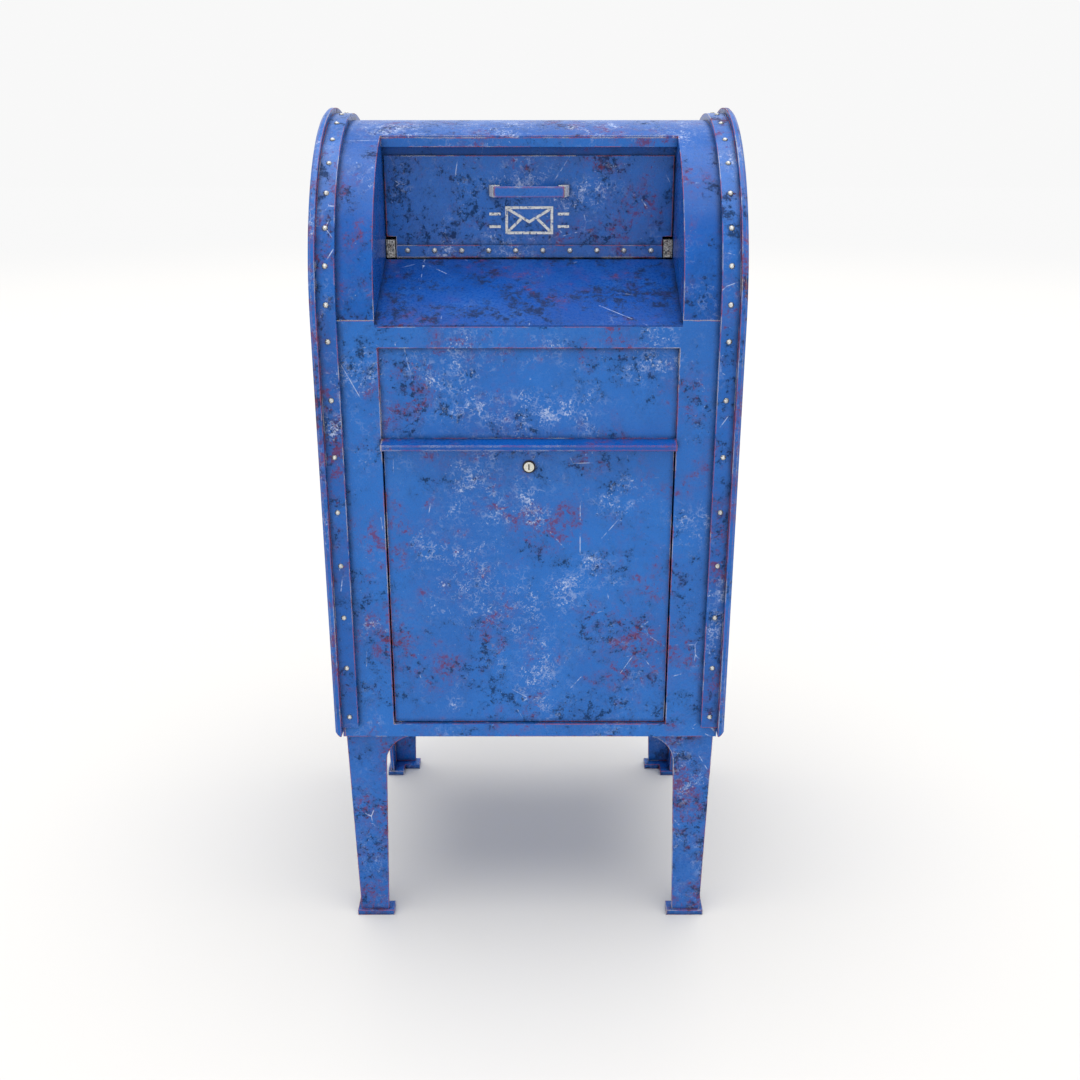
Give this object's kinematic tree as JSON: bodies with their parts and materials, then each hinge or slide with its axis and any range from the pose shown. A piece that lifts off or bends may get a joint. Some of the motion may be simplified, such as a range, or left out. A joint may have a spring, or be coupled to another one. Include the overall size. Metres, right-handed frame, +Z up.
{
  "type": "street mailbox",
  "caption": "Free-standing round-topped steel mailbox with a pull-down deposit door, a locked collection door and four angle legs on foot pads.",
  "frame": {"origin": "on the ground, under the centre of the box", "axes": "+Z up, front faces -Y, +X to the viewer's right when facing the front"},
  "size_m": [0.61, 0.554, 1.2819],
  "materials": {
    "blue_paint": "worn semi-gloss paint, chipped to red primer at the edges",
    "rivet_steel": "weathered dome rivets",
    "bare_steel": "bare, scratched and stained",
    "zinc_hardware": "dull zinc plate",
    "lock_ring": "dark worn ring",
    "lock_face": "pale worn nickel"
  },
  "bodies": {
    "cabinet": {"back_sheet": "blue_paint", "deposit_hinge_pins": "zinc_hardware", "door_stop": "blue_paint", "drip_rail": "blue_paint", "floor_pan": "blue_paint", "front_left_foot_pad": "blue_paint", "front_left_leg": "blue_paint", "front_right_foot_pad": "blue_paint", "front_right_leg": "blue_paint", "front_sheet": "blue_paint", "goose_neck_pins": "zinc_hardware", "hood_sheet": "blue_paint", "inner_baffle": "blue_paint", "left_cheek": "blue_paint", "left_edge_rivets": "rivet_steel", "left_edge_strip": "blue_paint", "left_hinge_block": "bare_steel", "left_rim": "blue_paint", "left_side_panel": "blue_paint", "leg_bolts": "zinc_hardware", "leg_nuts": "zinc_hardware", "lower_goose_bracket": "zinc_hardware", "opening_frame": "blue_paint", "rear_left_foot_pad": "blue_paint", "rear_left_leg": "blue_paint", "rear_right_foot_pad": "blue_paint", "rear_right_leg": "blue_paint", "recess_floor": "blue_paint", "right_cheek": "blue_paint", "right_edge_rivets": "rivet_steel", "right_edge_strip": "blue_paint", "right_hinge_block": "bare_steel", "right_rim": "blue_paint", "right_side_panel": "blue_paint", "strike_bar": "blue_paint", "upper_goose_bracket": "zinc_hardware", "upper_panel": "blue_paint", "window_lip": "blue_paint"},
    "deposit_door_unit": {"deposit_door": "blue_paint", "door_hinge_bar": "zinc_hardware", "door_hinge_strip": "blue_paint", "hinge_strip_rivets": "rivet_steel", "handle_bar": "blue_paint", "handle_brackets": "bare_steel", "handle_rivets": "zinc_hardware", "hopper_guard": "blue_paint", "left_hopper_side": "blue_paint", "right_hopper_side": "blue_paint", "counterweight": "zinc_hardware"},
    "collection_door_unit": {"collection_door": "blue_paint", "door_stiffener": "blue_paint", "upper_goose_arm": "zinc_hardware", "lower_goose_arm": "zinc_hardware", "lock_housing": "lock_ring", "lock_nut": "zinc_hardware"},
    "lock_unit": {"lock_plug": "lock_face", "lock_cam": "zinc_hardware", "cam_screw": "zinc_hardware"}
  },
  "joints": [
    {"name": "deposit_door_hinge", "type": "hinge", "parent": "cabinet", "child": "deposit_door_unit", "pos_m": [0, -0.07, 1.08], "axis": [1, 0, 0], "range_deg": [0, 75]},
    {"name": "collection_door_hinge", "type": "hinge", "parent": "cabinet", "child": "collection_door_unit", "pos_m": [-0.25, -0.247, 0.599], "axis": [0, 0, -1], "range_deg": [0, 105]},
    {"name": "lock_turn", "type": "hinge", "parent": "collection_door_unit", "child": "lock_unit", "pos_m": [0, -0.24, 0.789], "axis": [0, -1, 0], "range_deg": [0, 90]}
  ]
}
